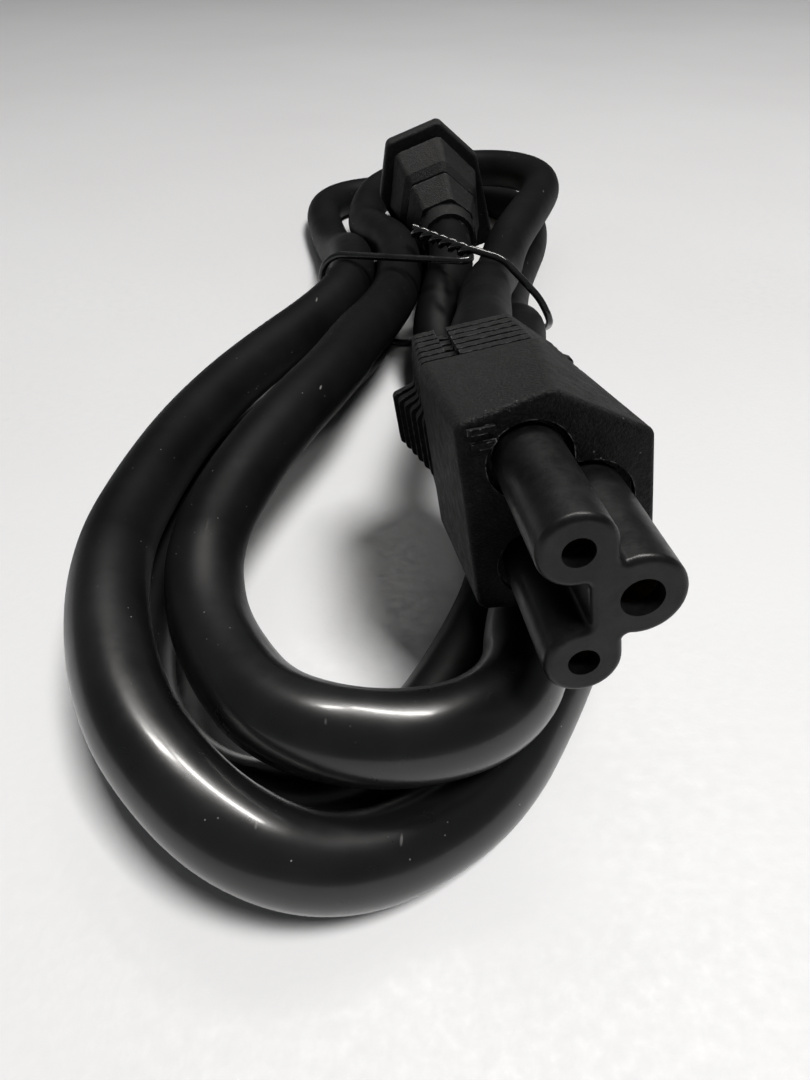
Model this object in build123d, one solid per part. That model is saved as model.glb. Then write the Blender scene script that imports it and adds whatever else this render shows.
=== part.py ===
"""Three-lobed appliance cord tied in a hank, millimetres, +Z up.

The origin is under the middle of the hank, on the surface it rests on. The cord
runs from the connector (lower right as seen from the front, -Y), through the tie
seven times and into the plug behind the tie.
"""

import math
import os

from build123d import *

os.makedirs("parts", exist_ok=True)

# ---- driving dimensions -------------------------------------------------------
CORD_D = 7.7          # outside of the jacket
JACKET_BORE = 5.7     # inside of the jacket
CORE_D = 2.2          # insulated core
WIRE_D = 1.3          # copper conductor
CORE_R = 1.6          # core centres about the cord's centre
TIE_D = 1.1           # covered tie
TIE_WIRE_D = 0.5

# connector: local x = across (v), y = along the line of the two small holes (u),
# z = out of the nose (a)
CON = Plane(origin=(12.71, -84.05, 26.55), x_dir=(0.979, 0.1395, 0.14867), z_dir=(0.12894, -0.98854, 0.07846))
CORD_V = 0.8          # where the cord leaves, across
HOLES = {"line": (0.0, 5.0), "neutral": (0.0, -5.0), "earth": (4.35, 0.0)}
LOBE_R = {"line": 2.95, "neutral": 2.95, "earth": 3.42}
HOLE_R = {"line": 1.2, "neutral": 1.2, "earth": 1.63}
SLEEVE_R = {"line": 1.75, "neutral": 1.75, "earth": 2.2}
NOSE_L = 12.5
BODY_L = 13.5
RIB_PITCH, RIB_T, RIB_N = 1.45, 0.85, 6

# plug: local x = toward the earth pin (s), y = across (w), z = along the pins (a)
PLUG_AXIS = Vector(-0.09127, 0.99301, 0.07523)
PLUG_X = Vector(-0.361, 0.0, 0.932)
PLUG_X = (PLUG_X - PLUG_AXIS * PLUG_X.dot(PLUG_AXIS)).normalized()
PLG = Plane(origin=Vector(8.21, 29.71, 14.45) + PLUG_AXIS * 16.5, x_dir=PLUG_X, z_dir=PLUG_AXIS)
BLADE_W, BLADE_S, BLADE_T, BLADE_L = 6.35, -6.3, 1.5, 15.9
EARTH_S, EARTH_D, EARTH_L = 5.6, 4.8, 17.5

# the cord's route, end to end
ROUTE = [
    (9.50, -53.29, 24.24), (8.14, -42.91, 23.41), (9.67, -31.61, 22.50), (11.14, -20.59, 19.67),
    (12.11, -9.35, 17.65), (13.78, 1.79, 15.60), (16.46, 12.71, 13.05), (18.78, 23.89, 14.15),
    (22.64, 34.68, 14.78), (26.37, 45.54, 14.68), (29.58, 56.44, 14.69), (29.09, 66.29, 14.51),
    (23.88, 74.17, 13.99), (15.22, 79.07, 12.82), (6.35, 79.94, 11.59), (-1.15, 76.94, 10.61),
    (-6.09, 70.39, 9.80), (-7.64, 61.32, 9.40), (-7.75, 49.91, 8.95), (-4.80, 39.05, 11.16),
    (-1.38, 28.00, 12.94), (-0.25, 16.54, 13.15), (-0.93, 5.08, 12.96), (-3.25, -6.13, 13.81),
    (-6.29, -17.10, 15.19), (-8.67, -28.31, 15.98), (-12.94, -38.95, 15.99), (-17.25, -49.61, 14.91),
    (-20.19, -59.20, 12.62), (-18.62, -68.56, 11.24), (-14.43, -76.68, 12.03), (-10.25, -82.36, 13.31),
    (-4.29, -85.19, 14.05), (2.06, -84.69, 13.26), (7.56, -81.90, 12.41), (11.08, -77.09, 12.12),
    (11.70, -70.51, 11.62), (14.48, -60.92, 10.78), (16.68, -49.40, 10.93), (16.94, -37.96, 10.87),
    (16.59, -26.50, 11.19), (17.05, -15.08, 12.45), (18.82, -3.77, 10.93), (18.10, 6.71, 5.93),
    (18.91, 18.07, 4.66), (20.94, 29.35, 4.05), (23.95, 40.37, 4.10), (27.02, 51.43, 3.92),
    (28.73, 62.78, 3.92), (28.29, 74.31, 3.92), (23.25, 84.53, 3.92), (13.48, 90.73, 3.92),
    (1.73, 92.07, 3.92), (-8.15, 89.99, 3.92), (-14.62, 86.24, 3.92), (-18.23, 80.11, 3.92),
    (-18.75, 72.29, 3.91), (-16.92, 61.62, 3.96), (-14.50, 50.34, 4.25), (-12.30, 39.44, 6.55),
    (-9.80, 28.94, 10.97), (-8.54, 17.57, 12.55), (-8.89, 6.05, 13.08), (-13.45, -4.56, 12.47),
    (-18.82, -14.67, 12.20), (-23.57, -25.12, 11.97), (-26.95, -36.09, 11.88), (-28.78, -47.41, 11.96),
    (-29.68, -58.90, 11.94), (-27.51, -70.15, 12.10), (-22.91, -80.96, 11.97), (-17.04, -87.81, 11.15),
    (-11.68, -91.46, 9.82), (-5.95, -91.91, 6.92), (0.34, -89.41, 4.75), (7.99, -83.37, 3.88),
    (13.73, -73.40, 3.94), (18.52, -62.95, 3.92), (20.88, -51.70, 3.92), (21.36, -40.22, 3.92),
    (20.75, -28.77, 3.92), (18.68, -17.46, 3.92), (14.46, -6.78, 3.89), (10.33, 3.95, 4.08),
    (9.79, 15.49, 5.85), (11.71, 23.36, 3.88), (12.51, 30.05, 3.92), (9.41, 35.25, 3.92),
    (3.46, 37.35, 3.92), (-2.49, 35.25, 3.92), (-5.44, 30.05, 3.92), (-5.87, 22.77, 3.89),
    (-3.89, 13.14, 5.55), (-5.99, 1.58, 4.70), (-11.41, -8.51, 3.92), (-17.32, -18.34, 3.92),
    (-22.45, -28.60, 3.92), (-25.80, -39.60, 3.92), (-27.63, -50.93, 3.92), (-27.91, -62.42, 3.92),
    (-25.55, -73.76, 3.92), (-20.41, -80.63, 3.92), (-15.16, -84.12, 3.92), (-9.15, -84.78, 3.92),
    (-3.46, -82.22, 3.92), (2.19, -76.59, 3.92), (7.34, -66.71, 3.92), (11.44, -55.93, 3.92),
    (12.68, -44.49, 3.92), (12.57, -33.03, 3.93), (10.89, -21.57, 3.88), (7.44, -11.19, 4.31),
    (5.09, -2.68, 8.65), (7.11, 6.94, 12.70), (9.12, 19.81, 13.70), (8.21, 29.71, 14.45),
]


# ---- paths --------------------------------------------------------------------
def vec(points):
    return [Vector(*p) for p in points]


def turns(points):
    """Radius of each inner corner: 0.45 of the shorter run over tan(half turn)."""
    radii = []
    for a, b, c in zip(points, points[1:], points[2:]):
        one, two = b - a, c - b
        turn = math.radians(one.get_angle(two))
        radii.append(0.45 * min(one.length, two.length) / math.tan(turn / 2))
    return radii


def offset_run(points, radii, shift):
    """The route moved sideways by shift, kept square to the route all the way."""
    out, bends = [points[0] + shift], []
    for i in range(1, len(points) - 1):
        a = (points[i] - points[i - 1]).normalized()
        b = (points[i + 1] - points[i]).normalized()
        turn = math.radians(a.get_angle(b))
        n = a.cross(b).normalized()
        inward = (b - a).normalized()
        along_n, along_m = shift.dot(n), shift.dot(n.cross(a))
        out.append(points[i] + n * along_n + inward * (along_m / math.cos(turn / 2)))
        bends.append(radii[i - 1] - along_m)
        shift = n * along_n + n.cross(b) * along_m
    out.append(points[-1] + shift)
    return out, bends, shift


def tube(points, radii, section):
    path = FilletPolyline(*points, radius=radii)
    start = Plane(origin=points[0], z_dir=points[1] - points[0])
    return sweep(start * section, path=path)


def con(v, u, a):
    return CON.from_local_coords(Vector(v, u, a))


def plg(s, w, a):
    return PLG.from_local_coords(Vector(s, w, a))


def prism(plane, outline, z0, z1, corner=0.0):
    """Outline in a plane's own x, y, from z0 to z1 along its z."""
    face = Polygon(*outline, align=None)
    if corner:
        face = fillet(face.vertices(), corner)
    return plane * Pos(0, 0, min(z0, z1)) * extrude(face, abs(z1 - z0), dir=(0, 0, 1))


def taper(plane, outline0, z0, outline1, z1, corner0, corner1):
    f0 = fillet(Polygon(*outline0, align=None).vertices(), corner0)
    f1 = fillet(Polygon(*outline1, align=None).vertices(), corner1)
    return plane * loft([Pos(0, 0, z0) * f0, Pos(0, 0, z1) * f1])


def rod(plane, x, y, z0, z1, r):
    return plane * Pos(x, y, min(z0, z1)) * Cylinder(r, abs(z1 - z0), align=(Align.CENTER, Align.CENTER, Align.MIN))


def block(plane, x0, x1, y0, y1, z0, z1):
    return plane * Pos((x0 + x1) / 2, (y0 + y1) / 2, (z0 + z1) / 2) * Box(abs(x1 - x0), abs(y1 - y0), abs(z1 - z0))


def save(name, solid):
    solids = solid.solids()
    export_step(solids[0] if len(solids) == 1 else Compound(solids), f"parts/{name}.step")
    print(name, len(solids), round(sum(s.volume for s in solids), 1))


# ---- cord ---------------------------------------------------------------------
route = vec(ROUTE)
radii = turns(route)
print("radii", [round(r, 1) for r in radii])
ring = Circle(CORD_D / 2) - Circle(JACKET_BORE / 2)
jacket = tube(route, radii, ring)
length = FilletPolyline(*route, radius=radii).length
area = math.pi / 4 * (CORD_D**2 - JACKET_BORE**2)
print("cord length", round(length, 1), "volume", round(jacket.volume, 1), "section x length", round(area * length, 1))
save("cord_jacket", jacket)

jacket_in_connector = tube(route[:4], radii[:2], Circle(CORD_D / 2))
jacket_in_plug = tube(route[-4:], radii[-2:], Circle(CORD_D / 2))

# the cores fan out at both ends: at the connector each starts behind its contact
CON_TURN = 84.0       # turns the three cores so that they reach the plug in order
LINE_SIDE = -1.0      # which side of the plug the line blade is on
angles = {"earth": 0.0, "line": 120.0, "neutral": 240.0}
LEAD_END = {"line": (-3.6, LINE_SIDE * 3.9), "neutral": (-3.6, -LINE_SIDE * 3.9), "earth": (5.4, 0.0)}
ends, tools_con, tools_plug = {}, [], []
for name, (v, u) in HOLES.items():
    t = math.radians(angles[name] + CON_TURN)
    local = Vector(CORE_R * math.cos(t), CORE_R * math.sin(t), 0)
    shift = con(local.X, local.Y, 0) - con(0, 0, 0)
    run, bends, last = offset_run(route, radii, shift)
    s, w = LEAD_END[name]
    at = PLG.to_local_coords(plg(0, 0, 0) + last)
    ends[name] = (round(at.X, 2), round(at.Y, 2))
    head = [con(v, u, -20.2), con(CORD_V + local.X, local.Y, -26.5)]
    tail = [plg(at.X, at.Y, -14.2), plg(s, w, -8.4)]

    def lead(a_con, a_plug):
        pts = [con(v, u, a_con)] + head + run[1:-1] + tail + [plg(s, w, a_plug)]
        r = turns(pts)
        k = len(head)
        r[k : k + len(bends)] = bends
        # the cores stay square in the jacket and bend only past its end
        half = math.radians((tail[0] - run[-2]).get_angle(tail[1] - tail[0])) / 2
        r[-2] = 2.2 / math.tan(half)
        return pts, r

    pts, r = lead(-18.2, -6.2)
    save("core_" + name, tube(pts, r, Circle(CORE_D / 2) - Circle(WIRE_D / 2)))
    front, back = tube(pts[:4], r[:2], Circle(CORE_D / 2)), tube(pts[-4:], r[-2:], Circle(CORE_D / 2))
    pts, r2 = lead(-14.2, -5.5)
    r2[0], r2[-1] = r[0], r[-1]
    save("wire_" + name, tube(pts, r2, Circle(WIRE_D / 2)))
    tools_con.append(front)
    tools_plug.append(back)
    tools_con.append(rod(CON, v, u, -14.0, -18.2, WIRE_D / 2))
    tools_plug.append(rod(PLG, s, w, -6.3, -5.4, WIRE_D / 2))
print("core ends in the plug", ends)

# ---- connector ----------------------------------------------------------------
def clover(z0, z1, grow=0.0):
    """The nose's outline, three lobes on a web, swollen by grow."""
    web = Pos(1.8, 0) * Rectangle(2.3 + 2 * grow, 10)
    for name, (v, u) in HOLES.items():
        web = web + Pos(v, u) * Circle(LOBE_R[name] + grow)
    inner = [p for p in web.vertices() if abs(abs(p.Y) - 3.0) < 1.6 or abs(p.X) < 1.2]
    web = fillet(inner, 0.5)
    return CON * Pos(0, 0, z0) * extrude(web, z1 - z0, dir=(0, 0, 1))


nose = clover(-NOSE_L - 1.5, 0)
tip = nose.faces().sort_by(Axis(CON.origin, CON.z_dir))[-1]
nose = fillet(tip.edges(), 0.55)
PLATE = [(-3.6, 7.4), (1.6, 8.6), (7.8, 4.6), (7.8, -4.6), (1.6, -8.6), (-3.6, -7.4)]
shape = nose + prism(CON, PLATE, -NOSE_L - 1.2, -17.0, 1.0)
nose = shape
contacts = {}
for name, (v, u) in HOLES.items():
    r, o = HOLE_R[name], SLEEVE_R[name]
    nose = nose - rod(CON, v, u, -1.6, 0.1, r)
    nose = nose - rod(CON, v, u, -17.1, -1.6, o + 0.05)
    sleeve = rod(CON, v, u, -13.5, -1.7, o) - rod(CON, v, u, -12.4, -1.6, r)
    sleeve = sleeve - block(CON, v - 0.3, v + 0.3, u, u + (o + 1) * (1 if u >= 0 else -1), -12.0, -1.6)
    sleeve = sleeve + rod(CON, v, u, -18.1, -13.5, 1.6)
    sleeve = sleeve - rod(CON, v, u, -18.2, -14.2, WIRE_D / 2)
    contacts[name] = sleeve
    save("contact_" + name, sleeve)
save("connector_nose", nose)

FRONT = [(-5.6, 9.3), (2.1, 10.8), (10.1, 5.4), (10.1, -5.4), (2.1, -10.3), (-5.6, -9.0)]
REAR = [(-6.6, 8.9), (4.3, 9.2), (8.8, 4.6), (8.8, -4.6), (4.3, -9.2), (-6.6, -8.9)]
RIB = [(-6.4, 8.9), (4.0, 9.2), (8.6, 4.8)]   # half of a rib; the grip pads stand out more toward the cord
NECK = [(-5.4, 7.4), (3.4, 7.7), (7.3, 4.0), (7.3, -4.0), (3.4, -7.7), (-5.4, -7.4)]
body = taper(CON, FRONT, -NOSE_L, REAR, -NOSE_L - BODY_L, 1.1, 1.1)
front_face = body.faces().sort_by(Axis(CON.origin, CON.z_dir))[-1]
body = fillet(front_face.edges(), 0.5)
a0 = -NOSE_L - BODY_L
a1 = a0 - 1.4 - RIB_PITCH * RIB_N
body = body + taper(CON, NECK, a0, [(0.94 * x, 0.92 * y) for x, y in NECK], a1, 1.4, 1.4)
for k in range(RIB_N):
    z = a0 - 0.6 - RIB_PITCH * k
    g = 0.985 - 0.012 * k
    half = [(-6.8 - 0.4 * k, 2.7), (-6.5, 3.4)] + [(g * x, g * y) for x, y in RIB] + [(8.5, 3.4), (8.8 + 0.2 * k, 2.7)]
    rib = prism(CON, half + [(x, -y) for x, y in reversed(half)], z, z - RIB_T, 0.6)
    for u in (7.6, -11.0):        # the gap that parts the ribs in two groups
        rib = rib - block(CON, -3.7, -2.5, u, u + 3.4, z + 0.1, z - RIB_T - 0.1)
    body = body + rib
body = body + CON * Pos(CORD_V, 0, a1) * Rot(180, 0, 0) * Cone(5.6, 4.7, 3.6, align=(Align.CENTER, Align.CENTER, Align.MIN))
for v0, v1, u0 in ((-4.7, -2.5, 8.35), (-4.5, -2.5, 7.05)):
    body = body + block(CON, v0, v1, u0, u0 + 0.55, -NOSE_L - 0.6, -NOSE_L + 0.35)
body = body - clover(-NOSE_L - 0.9, -NOSE_L + 1, 0.6)
body = body - shape
for name, (v, u) in HOLES.items():
    body = body - rod(CON, v, u, -18.2, -16.9, 1.65)
for tool in tools_con:
    body = body - tool
body = body - jacket_in_connector
save("connector_body", body)

# ---- plug ---------------------------------------------------------------------
FLANGE = [(14.3, 5.2), (5.6, 10.0), (-11.4, 8.2), (-11.4, -8.2), (5.6, -10.0), (14.3, -5.2)]
GRIP = [(12.3, 4.4), (3.6, 8.8), (-5.8, 6.4), (-5.8, -6.4), (3.6, -8.8), (12.3, -4.4)]
GRIP_MID = [(9.8, 3.8), (2.7, 7.7), (-5.4, 6.0), (-5.4, -6.0), (2.7, -7.7), (9.8, -3.8)]
GRIP_STEP = [(8.4, 3.4), (2.2, 6.8), (-5.0, 5.5), (-5.0, -5.5), (2.2, -6.8), (8.4, -3.4)]
GRIP_END = [(5.6, 2.8), (1.4, 5.5), (-4.7, 4.7), (-4.7, -4.7), (1.4, -5.5), (5.6, -2.8)]
plug = prism(PLG, FLANGE, -3.2, 0, 1.4)
edges = plug.faces().sort_by(Axis(PLG.origin, PLG.z_dir))
plug = fillet(edges[0].edges() + edges[-1].edges(), 0.6)
plug = plug + prism(PLG, [(0.86 * x, 0.86 * y) for x, y in GRIP], -4.4, -3.1, 1.2)
plug = plug + taper(PLG, GRIP, -4.2, GRIP_MID, -9.4, 1.3, 1.3)
plug = plug + taper(PLG, GRIP_MID, -9.4, GRIP_STEP, -10.6, 1.3, 1.3)
plug = plug + prism(PLG, [(0.84 * x, 0.84 * y) for x, y in GRIP_STEP], -12.0, -10.5, 1.1)
plug = plug + taper(PLG, GRIP_STEP, -11.6, GRIP_END, -16.4, 1.3, 1.3)
plug = plug + PLG * Pos(0, 0, -14.0) * Rot(180, 0, 0) * Cone(5.5, 4.75, 5.8, align=(Align.CENTER, Align.CENTER, Align.MIN))

blades = {}
for name, side, wide in (("line", LINE_SIDE, 6.35), ("neutral", -LINE_SIDE, 7.95)):
    w = side * BLADE_W
    blade = block(PLG, BLADE_S - wide / 2, BLADE_S + wide / 2, w - BLADE_T / 2, w + BLADE_T / 2, -2.9, BLADE_L)
    tip = blade.edges().filter_by(lambda e: e.length < BLADE_T + 0.01).sort_by(Axis(PLG.origin, PLG.z_dir))[-2:]
    blade = chamfer(tip, 1.2)
    blade = blade + block(PLG, -4.6, -3.0, side * 3.2, side * 5.7, -2.9, -1.9)
    blade = blade + block(PLG, -4.6, -2.6, side * 3.2, side * 4.6, -5.5, -1.9)
    blades[name] = blade
earth = rod(PLG, EARTH_S, 0, 0.4, EARTH_L, EARTH_D / 2)
earth = fillet(earth.faces().sort_by(Axis(PLG.origin, PLG.z_dir))[-1].edges(), 1.9)
earth = earth + rod(PLG, EARTH_S, 0, -4.0, 0.4, 1.9)
earth = earth + block(PLG, 4.3, EARTH_S + 0.6, -1.2, 1.2, -5.5, -3.9)
bridge = prism(PLG, [(12.8, 4.2), (4.8, 9.0), (-10.3, 7.4), (-10.3, -7.4), (4.8, -9.0), (12.8, -4.2)], -2.6, -0.9, 1.0)
plug = plug - bridge
for name, blade in blades.items():
    bridge = bridge - blade
    plug = plug - blade
    save("blade_" + name, blade)
bridge = bridge - earth
plug = plug - earth
for tool in tools_plug:
    plug = plug - tool
plug = plug - jacket_in_plug
save("earth_pin", earth)
save("plug_bridge", bridge)
save("plug_body", plug)

# ---- tie ----------------------------------------------------------------------
# centres of the passes where the tie lies on them: over the top, then underneath
TOP = [(-8.85, 12.9), (-0.95, 13.1), (6.1, 10.9), (13.3, 16.3), (18.6, 10.7)]
UNDER = [(18.4, 5.35), (9.95, 5.15), (-4.4, 5.45)]
R_TOP, R_UNDER = CORD_D / 2 + TIE_D / 2 + 0.3, CORD_D / 2 + TIE_D / 2 + 0.16


def support(t):
    c, s = math.cos(t), math.sin(t)
    return max([x * c + z * s + R_TOP for x, z in TOP] + [x * c + z * s + R_UNDER for x, z in UNDER])


def hull_point(t0, t1):
    """Where the tie's two tangent lines at these angles cross, in x and z."""
    h0, h1 = support(t0), support(t1)
    d = math.sin(t1 - t0)
    return ((h0 * math.sin(t1) - h1 * math.sin(t0)) / d, (h1 * math.cos(t0) - h0 * math.cos(t1)) / d)


def tie_y(x, z):
    over = 5.3 - 0.42 * x
    share = min(1.0, max(0.0, (z - 2.0) / 10.0))
    return 12.0 + (over - 12.0) * share


# the tie's outward directions round the bundle; the two ends leave near the first
TANGENTS = [98.7, 117, 135, 153, 171, 189, 207, 225, 243, 256, 268.8, 271.4, 284, 300, 318, 336, 354, 372, 390, 408, 426, 442, 458.7]
loop = []
for t0, t1 in zip(TANGENTS, TANGENTS[1:]):
    x, z = hull_point(math.radians(t0), math.radians(t1))
    loop.append(Vector(x, tie_y(x, z), z))

TURN_R = TIE_D / 2 + 0.03         # the two ends twisted round each other
PITCH, PER_TURN = 5.5, 12
base, top = Vector(10.6, 0.9, 20.9), Vector(1.9, 15.0, 19.6)
axis = (top - base).normalized()
up = (Vector(0, 0, 1) - axis * axis.Z).normalized()
side = axis.cross(up)
count = int((top - base).length / PITCH * PER_TURN)


def strand(phase):
    out = []
    for k in range(count + 1):
        t = phase - 2 * math.pi * k / PER_TURN
        out.append(base + axis * (PITCH * k / PER_TURN) + (up * math.cos(t) + side * math.sin(t)) * TURN_R)
    return out


low, high = strand(math.pi), strand(0.0)
back = [low[0] + Vector(-0.03, -0.8, 0.0), low[0] + Vector(-0.54, -1.39, -0.05), low[0] + Vector(-1.30, -1.52, -0.12)]
tie = list(reversed(low)) + back + loop + high
tie_radii = turns(tie)
print("tie radii", round(min(tie_radii), 2), "length", round(FilletPolyline(*tie, radius=tie_radii).length, 1))
save("tie_cover", tube(tie, tie_radii, Circle(TIE_D / 2) - Circle(TIE_WIRE_D / 2)))
save("tie_wire", tube(tie, tie_radii, Circle(TIE_WIRE_D / 2)))
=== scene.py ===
"""Looks of the appliance cord: camera, cord, materials, floor and light."""

import math

import bpy
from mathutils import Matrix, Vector


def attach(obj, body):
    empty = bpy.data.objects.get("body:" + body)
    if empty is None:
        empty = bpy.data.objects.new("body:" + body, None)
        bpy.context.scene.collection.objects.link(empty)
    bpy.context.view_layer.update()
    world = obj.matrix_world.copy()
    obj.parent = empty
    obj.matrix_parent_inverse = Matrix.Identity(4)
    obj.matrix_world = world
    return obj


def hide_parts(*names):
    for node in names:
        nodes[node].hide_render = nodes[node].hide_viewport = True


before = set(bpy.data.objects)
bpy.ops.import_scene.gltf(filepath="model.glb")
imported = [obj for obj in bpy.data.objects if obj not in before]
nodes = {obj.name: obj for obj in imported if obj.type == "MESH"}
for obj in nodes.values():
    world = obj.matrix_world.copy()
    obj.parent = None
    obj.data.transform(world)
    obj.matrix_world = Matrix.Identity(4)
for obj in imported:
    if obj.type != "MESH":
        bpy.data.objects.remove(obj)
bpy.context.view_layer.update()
scene = bpy.context.scene
col = scene.collection

# ---- camera -------------------------------------------------------------------
cam_data = bpy.data.cameras.new("camera")
cam_data.sensor_fit = "VERTICAL"
cam_data.sensor_height = 36.0
cam_data.sensor_width = 27.0
cam_data.lens = 820.0 / 1080.0 * 36.0
cam_data.clip_start = 0.002
cam_data.clip_end = 20.0
cam = bpy.data.objects.new("camera", cam_data)
cam.location = (0.00051, -0.12495, 0.06595)
cam.rotation_euler = (math.radians(90 - 39.0), 0, 0)
col.objects.link(cam)
scene.camera = cam

# ---- cord: the route's own points ----------------------------------------------
CORD_D = 0.0077
ROUTE = [
    (0.00950, -0.05329, 0.02424), (0.00814, -0.04291, 0.02341), (0.00967, -0.03161, 0.02250), (0.01114, -0.02059, 0.01967),
    (0.01211, -0.00935, 0.01765), (0.01378, 0.00179, 0.01560), (0.01646, 0.01271, 0.01305), (0.01878, 0.02389, 0.01415),
    (0.02264, 0.03468, 0.01478), (0.02637, 0.04554, 0.01468), (0.02958, 0.05644, 0.01469), (0.02909, 0.06629, 0.01451),
    (0.02388, 0.07417, 0.01399), (0.01522, 0.07907, 0.01282), (0.00635, 0.07994, 0.01159), (-0.00115, 0.07694, 0.01061),
    (-0.00609, 0.07039, 0.00980), (-0.00764, 0.06132, 0.00940), (-0.00775, 0.04991, 0.00895), (-0.00480, 0.03905, 0.01116),
    (-0.00138, 0.02800, 0.01294), (-0.00025, 0.01654, 0.01315), (-0.00093, 0.00508, 0.01296), (-0.00325, -0.00613, 0.01381),
    (-0.00629, -0.01710, 0.01519), (-0.00867, -0.02831, 0.01598), (-0.01294, -0.03895, 0.01599), (-0.01725, -0.04961, 0.01491),
    (-0.02019, -0.05920, 0.01262), (-0.01862, -0.06856, 0.01124), (-0.01443, -0.07668, 0.01203), (-0.01025, -0.08236, 0.01331),
    (-0.00429, -0.08519, 0.01405), (0.00206, -0.08469, 0.01326), (0.00756, -0.08190, 0.01241), (0.01108, -0.07709, 0.01212),
    (0.01170, -0.07051, 0.01162), (0.01448, -0.06092, 0.01078), (0.01668, -0.04940, 0.01093), (0.01694, -0.03796, 0.01087),
    (0.01659, -0.02650, 0.01119), (0.01705, -0.01508, 0.01245), (0.01882, -0.00377, 0.01093), (0.01810, 0.00671, 0.00593),
    (0.01891, 0.01807, 0.00466), (0.02094, 0.02935, 0.00405), (0.02395, 0.04037, 0.00410), (0.02702, 0.05143, 0.00392),
    (0.02873, 0.06278, 0.00392), (0.02829, 0.07431, 0.00392), (0.02325, 0.08453, 0.00392), (0.01348, 0.09073, 0.00392),
    (0.00173, 0.09207, 0.00392), (-0.00815, 0.08999, 0.00392), (-0.01462, 0.08624, 0.00392), (-0.01823, 0.08011, 0.00392),
    (-0.01875, 0.07229, 0.00391), (-0.01692, 0.06162, 0.00396), (-0.01450, 0.05034, 0.00425), (-0.01230, 0.03944, 0.00655),
    (-0.00980, 0.02894, 0.01097), (-0.00854, 0.01757, 0.01255), (-0.00889, 0.00605, 0.01308), (-0.01345, -0.00456, 0.01247),
    (-0.01882, -0.01467, 0.01220), (-0.02357, -0.02512, 0.01197), (-0.02695, -0.03609, 0.01188), (-0.02878, -0.04741, 0.01196),
    (-0.02968, -0.05890, 0.01194), (-0.02751, -0.07015, 0.01210), (-0.02291, -0.08096, 0.01197), (-0.01704, -0.08781, 0.01115),
    (-0.01168, -0.09146, 0.00982), (-0.00595, -0.09191, 0.00692), (0.00034, -0.08941, 0.00475), (0.00799, -0.08337, 0.00388),
    (0.01373, -0.07340, 0.00394), (0.01852, -0.06295, 0.00392), (0.02088, -0.05170, 0.00392), (0.02136, -0.04022, 0.00392),
    (0.02075, -0.02877, 0.00392), (0.01868, -0.01746, 0.00392), (0.01446, -0.00678, 0.00389), (0.01033, 0.00395, 0.00408),
    (0.00979, 0.01549, 0.00585), (0.01171, 0.02336, 0.00388), (0.01251, 0.03005, 0.00392), (0.00941, 0.03525, 0.00392),
    (0.00346, 0.03735, 0.00392), (-0.00249, 0.03525, 0.00392), (-0.00544, 0.03005, 0.00392), (-0.00587, 0.02277, 0.00389),
    (-0.00389, 0.01314, 0.00555), (-0.00599, 0.00158, 0.00470), (-0.01141, -0.00851, 0.00392), (-0.01732, -0.01834, 0.00392),
    (-0.02245, -0.02860, 0.00392), (-0.02580, -0.03960, 0.00392), (-0.02763, -0.05093, 0.00392), (-0.02791, -0.06242, 0.00392),
    (-0.02555, -0.07376, 0.00392), (-0.02041, -0.08063, 0.00392), (-0.01516, -0.08412, 0.00392), (-0.00915, -0.08478, 0.00392),
    (-0.00346, -0.08222, 0.00392), (0.00219, -0.07659, 0.00392), (0.00734, -0.06671, 0.00392), (0.01144, -0.05593, 0.00392),
    (0.01268, -0.04449, 0.00392), (0.01257, -0.03303, 0.00393), (0.01089, -0.02157, 0.00388), (0.00744, -0.01119, 0.00431),
    (0.00509, -0.00268, 0.00865), (0.00711, 0.00694, 0.01270), (0.00912, 0.01981, 0.01370), (0.00821, 0.02971, 0.01445),
]

curve = bpy.data.curves.new("cord", "CURVE")
curve.dimensions = "3D"
curve.resolution_u = 10
curve.bevel_depth = 1.0
curve.bevel_resolution = 14
curve.use_fill_caps = True
spline = curve.splines.new("NURBS")
spline.points.add(len(ROUTE) - 1)
for point, place in zip(spline.points, ROUTE):
    point.co = (*place, 1.0)
    point.radius = CORD_D / 2
spline.order_u = 3
spline.use_endpoint_u = True
cord = bpy.data.objects.new("cord", curve)
col.objects.link(cord)
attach(cord, "root")
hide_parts("cord_jacket")


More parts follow.
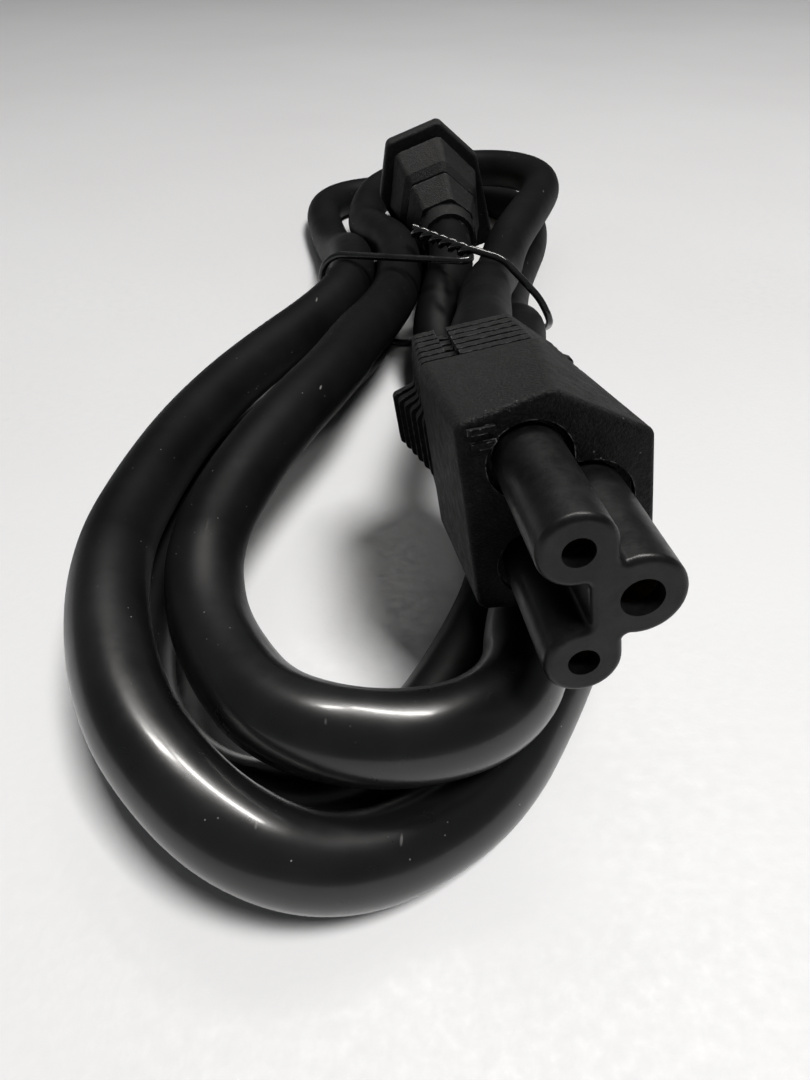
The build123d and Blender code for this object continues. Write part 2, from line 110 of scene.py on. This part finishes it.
# ---- materials ------------------------------------------------------------------
class Tree:
    """A material's node tree, with short calls for the nodes used here."""

    def __init__(self, name):
        self.mat = bpy.data.materials.new(name)
        self.mat.use_nodes = True
        self.t = self.mat.node_tree
        self.t.nodes.clear()
        self.out = self.t.nodes.new("ShaderNodeOutputMaterial")
        self.bsdf = self.t.nodes.new("ShaderNodeBsdfPrincipled")
        self.link(self.bsdf.outputs[0], self.out.inputs[0])
        self.place = self.t.nodes.new("ShaderNodeTexCoord").outputs["Object"]

    def link(self, a, b):
        self.t.links.new(a, b)

    def noise(self, scale, detail=3.0, rough=0.5, where=None, stretch=None):
        n = self.t.nodes.new("ShaderNodeTexNoise")
        n.inputs["Scale"].default_value = scale
        n.inputs["Detail"].default_value = detail
        n.inputs["Roughness"].default_value = rough
        src = where or self.place
        if stretch:
            m = self.t.nodes.new("ShaderNodeMapping")
            m.inputs["Scale"].default_value = stretch
            self.link(src, m.inputs["Vector"])
            src = m.outputs[0]
        self.link(src, n.inputs["Vector"])
        return n.outputs["Fac"]

    def cells(self, scale, feature="F1", where=None):
        n = self.t.nodes.new("ShaderNodeTexVoronoi")
        n.feature = feature
        n.inputs["Scale"].default_value = scale
        self.link(where or self.place, n.inputs["Vector"])
        return n

    def specks(self, scale, inner, outer, rare, stretch=None):
        """1 on small spots, at the centres of some of the cells, and 0 elsewhere."""
        src = self.place
        if stretch:
            m = self.t.nodes.new("ShaderNodeMapping")
            m.inputs["Scale"].default_value = stretch
            self.link(src, m.inputs["Vector"])
            src = m.outputs[0]
        n = self.cells(scale, where=src)
        spot = self.ramp(n.outputs["Distance"], 1, 0, inner, outer)
        return self.math("MULTIPLY", spot, self.ramp(n.outputs["Color"], 0, 1, rare, rare + 0.02))

    def edges(self, radius):
        """1 on the outer edges, where the moulding is worn and where a painted edge highlight goes, and 0 on flat
        places.
        """
        soft = self.t.nodes.new("ShaderNodeBevel")
        soft.samples = 6
        soft.inputs["Radius"].default_value = radius
        flat = self.t.nodes.new("ShaderNodeNewGeometry")
        n = self.t.nodes.new("ShaderNodeVectorMath")
        n.operation = "DOT_PRODUCT"
        self.link(soft.outputs[0], n.inputs[0])
        self.link(flat.outputs["Normal"], n.inputs[1])
        return self.ramp(n.outputs["Value"], 1, 0, 0.78, 0.96)

    def ramp(self, fac, a, b, lo=0.0, hi=1.0):
        n = self.t.nodes.new("ShaderNodeMapRange")
        n.clamp = True
        n.inputs["From Min"].default_value = lo
        n.inputs["From Max"].default_value = hi
        n.inputs["To Min"].default_value = a
        n.inputs["To Max"].default_value = b
        self.link(fac, n.inputs["Value"])
        return n.outputs[0]

    def math(self, op, a, b):
        n = self.t.nodes.new("ShaderNodeMath")
        n.operation = op
        for i, x in enumerate((a, b)):
            if isinstance(x, (int, float)):
                n.inputs[i].default_value = x
            else:
                self.link(x, n.inputs[i])
        return n.outputs[0]

    def mix(self, fac, a, b):
        n = self.t.nodes.new("ShaderNodeMix")
        n.data_type = "RGBA"
        self.link(fac, n.inputs["Factor"])
        for sock, x in ((n.inputs[6], a), (n.inputs[7], b)):
            if isinstance(x, tuple):
                sock.default_value = (*x, 1.0)
            else:
                self.link(x, sock)
        return n.outputs[2]

    def bump(self, height, strength, distance):
        n = self.t.nodes.new("ShaderNodeBump")
        n.inputs["Strength"].default_value = strength
        n.inputs["Distance"].default_value = distance
        self.link(height, n.inputs["Height"])
        if self.bsdf.inputs["Normal"].links:
            self.link(self.bsdf.inputs["Normal"].links[0].from_socket, n.inputs["Normal"])
        self.link(n.outputs[0], self.bsdf.inputs["Normal"])

    def colour(self, sock):
        self.link(sock, self.bsdf.inputs["Base Color"])

    def rough(self, sock):
        self.link(sock, self.bsdf.inputs["Roughness"])


def black_cord():
    m = Tree("black_cord")
    tone = m.noise(90, 4, 0.6)
    base = m.mix(m.ramp(tone, 0, 1, 0.35, 0.7), (0.0035, 0.0035, 0.0038), (0.0075, 0.0075, 0.0078))
    # fine dust and a few threads of lint that have settled on the jacket
    specks = m.specks(950, 0.05, 0.08, 0.62)
    lint = m.specks(420, 0.035, 0.06, 0.52, (1.0, 0.14, 1.0))
    dust = m.math("MULTIPLY", m.math("MAXIMUM", specks, lint), m.ramp(m.noise(120, 2, 0.5), 0.05, 0.5, 0.45, 0.65))
    m.colour(m.mix(dust, base, (0.42, 0.41, 0.39)))
    wear = m.noise(240, 5, 0.65)
    # rubbed dull where the strands press on each other, toward the tie
    axes = m.t.nodes.new("ShaderNodeSeparateXYZ")
    m.link(m.place, axes.inputs[0])
    dull = m.ramp(axes.outputs["Y"], 0, 1, -0.080, -0.060)
    m.rough(m.math("ADD", m.ramp(wear, 0.26, 0.36, 0.3, 0.75), m.ramp(dull, 0, 0.2)))
    m.link(m.ramp(dull, 0.3, 0.0), m.bsdf.inputs["Coat Weight"])
    m.link(m.ramp(dull, 0.5, 0.05), m.bsdf.inputs["Specular IOR Level"])
    m.bsdf.inputs["Coat Roughness"].default_value = 0.12
    m.bump(m.noise(2600, 2, 0.5), 0.06, 0.00005)
    m.bump(m.noise(130, 3, 0.5), 0.12, 0.0002)
    return m.mat


def black_moulding():
    m = Tree("black_moulding")
    # spark-eroded grain: dark pits and paler tops
    grain = m.noise(3800, 3, 0.7)
    tone = m.math("ADD", m.ramp(grain, 0, 0.9, 0.45, 0.66), m.ramp(m.noise(240, 5, 0.6), 0, 0.3, 0.4, 0.7))
    base = m.mix(tone, (0.0005, 0.0005, 0.0006), (0.0075, 0.0075, 0.0078))
    specks = m.specks(1500, 0.08, 0.14, 0.60)
    dust = m.math("MULTIPLY", specks, m.ramp(m.noise(260, 2, 0.5), 0.0, 0.5, 0.48, 0.64))
    # paler colour along the outer edges: partly real wear, partly a painted highlight where the edges catch the light
    wear_and_edge_highlight = m.math("MULTIPLY", m.edges(0.0002), m.ramp(m.noise(1500, 4, 0.7), 0.0, 0.5, 0.47, 0.6))
    m.colour(m.mix(m.math("MAXIMUM", dust, wear_and_edge_highlight), base, (0.3, 0.3, 0.3)))
    m.rough(m.ramp(m.noise(900, 4, 0.6), 0.50, 0.68, 0.3, 0.7))
    m.bump(grain, 0.9, 0.00018)
    m.bsdf.inputs["Specular IOR Level"].default_value = 0.22
    return m.mat


def black_insert():
    m = Tree("black_insert")
    # smooth and scuffed: cloudy patches and fine rubbed marks along the lobes
    cloud = m.ramp(m.noise(420, 6, 0.7), 0, 1, 0.38, 0.68)
    marks = m.ramp(m.noise(900, 4, 0.6, stretch=(1.0, 0.12, 1.0)), 0, 0.45, 0.52, 0.72)
    m.colour(m.mix(m.math("MAXIMUM", cloud, marks), (0.0020, 0.0020, 0.0022), (0.0085, 0.0085, 0.0088)))
    m.rough(m.ramp(m.noise(380, 6, 0.7), 0.34, 0.52, 0.35, 0.68))
    m.bump(m.noise(3400, 3, 0.6), 0.16, 0.00008)
    m.bsdf.inputs["Coat Weight"].default_value = 0.1
    m.bsdf.inputs["Coat Roughness"].default_value = 0.2
    m.bsdf.inputs["Specular IOR Level"].default_value = 0.22
    return m.mat


def tie_plastic():
    m = Tree("tie_plastic")
    tone = m.noise(500, 3, 0.5)
    m.colour(m.mix(m.ramp(tone, 0, 1, 0.3, 0.7), (0.006, 0.006, 0.0065), (0.012, 0.012, 0.0125)))
    m.rough(m.ramp(m.noise(900, 3, 0.5), 0.16, 0.28, 0.3, 0.7))
    m.bump(m.noise(1400, 2, 0.5), 0.15, 0.0001)
    return m.mat


def metal(name, a, b, lo, hi, lines=None):
    m = Tree(name)
    m.bsdf.inputs["Metallic"].default_value = 1.0
    tone = m.noise(260, 4, 0.6)
    m.colour(m.mix(m.ramp(tone, 0, 1, 0.3, 0.7), a, b))
    m.rough(m.ramp(m.noise(500, 4, 0.6, stretch=lines), lo, hi, 0.3, 0.7))
    m.bump(m.noise(1500, 3, 0.5, stretch=lines), 0.08, 0.00005)
    return m.mat


def smooth_plastic(name, a, b):
    m = Tree(name)
    m.colour(m.mix(m.ramp(m.noise(180, 3, 0.5), 0, 1, 0.3, 0.7), a, b))
    m.rough(m.ramp(m.noise(400, 3, 0.5), 0.3, 0.42, 0.3, 0.7))
    m.bump(m.noise(2200, 2, 0.5), 0.05, 0.00005)
    return m.mat


brass = metal("brass", (0.66, 0.50, 0.22), (0.78, 0.62, 0.30), 0.2, 0.36, (1, 0.15, 1))
copper = metal("copper", (0.66, 0.36, 0.22), (0.80, 0.46, 0.30), 0.25, 0.4)
tarnished = metal("brass_tarnished", (0.20, 0.14, 0.07), (0.30, 0.22, 0.11), 0.4, 0.55)
steel = metal("steel", (0.5, 0.5, 0.5), (0.65, 0.65, 0.64), 0.25, 0.4)
look = {
    "connector_nose": black_insert(),
    "connector_body": black_moulding(),
    "plug_bridge": smooth_plastic("bridge_plastic", (0.55, 0.53, 0.47), (0.64, 0.62, 0.55)),
    "contact_line": tarnished, "contact_neutral": tarnished, "contact_earth": tarnished,
    "blade_line": brass, "blade_neutral": brass, "earth_pin": brass,
    "wire_line": copper, "wire_neutral": copper, "wire_earth": copper,
    "core_line": smooth_plastic("core_brown", (0.12, 0.05, 0.02), (0.2, 0.09, 0.04)),
    "core_neutral": smooth_plastic("core_blue", (0.03, 0.08, 0.3), (0.05, 0.12, 0.4)),
    "core_earth": smooth_plastic("core_green", (0.08, 0.25, 0.05), (0.45, 0.42, 0.05)),
    "tie_cover": tie_plastic(),
    "tie_wire": steel,
}
look["plug_body"] = look["connector_body"]
for name, mat in look.items():
    data = nodes[name].data
    data.materials.clear()
    data.materials.append(mat)
curve.materials.append(black_cord())

# ---- floor and light --------------------------------------------------------------
floor_mesh = bpy.data.meshes.new("floor")
floor_mesh.from_pydata([(-3, -2, 0), (3, -2, 0), (3, 4, 0), (-3, 4, 0)], [], [(0, 1, 2, 3)])
floor = bpy.data.objects.new("floor", floor_mesh)
col.objects.link(floor)
m = Tree("pale_floor")
m.colour(m.mix(m.ramp(m.noise(6, 4, 0.6), 0, 1, 0.3, 0.7), (0.71, 0.70, 0.695), (0.76, 0.755, 0.75)))
m.rough(m.ramp(m.noise(700, 3, 0.6), 0.5, 0.7, 0.3, 0.7))
m.bump(m.noise(1100, 2, 0.5), 0.10, 0.0003)
floor_mesh.materials.append(m.mat)


def area(name, place, target, size, size_y, power, tint=(1, 1, 1)):
    data = bpy.data.lights.new(name, "AREA")
    data.shape = "RECTANGLE"
    data.size, data.size_y = size, size_y
    data.energy = power
    data.color = tint
    ob = bpy.data.objects.new(name, data)
    ob.location = place
    ob.rotation_euler = (Vector(target) - Vector(place)).to_track_quat("-Z", "Y").to_euler()
    col.objects.link(ob)
    return ob


# two panels that only the reflections show: the long streaks on the loops
for name, x, y, z, wide, high, power in (
        ("gloss_r", 0.17, 0.22, 0.74, 0.46, 0.08, 7.0), ("gloss_l", -0.15, 0.25, 0.75, 0.15, 0.07, 2.4)):
    panel = area(name, (x, y, z), (0, -0.08, 0.01), wide, high, power, (1.0, 0.975, 0.94))
    panel.visible_diffuse = False
# the light on the floor; it is kept out of the reflections
fill = area("fill", (0.32, -0.40, 1.05), (0, 0, 0), 0.28, 0.28, 15.5)
fill.visible_glossy = False
world = bpy.data.worlds.new("world")
world.use_nodes = True
world.node_tree.nodes["Background"].inputs[0].default_value = (0.95, 0.97, 1.0, 1)
world.node_tree.nodes["Background"].inputs[1].default_value = 0.09
scene.world = world
scene.view_settings.view_transform = "Standard"
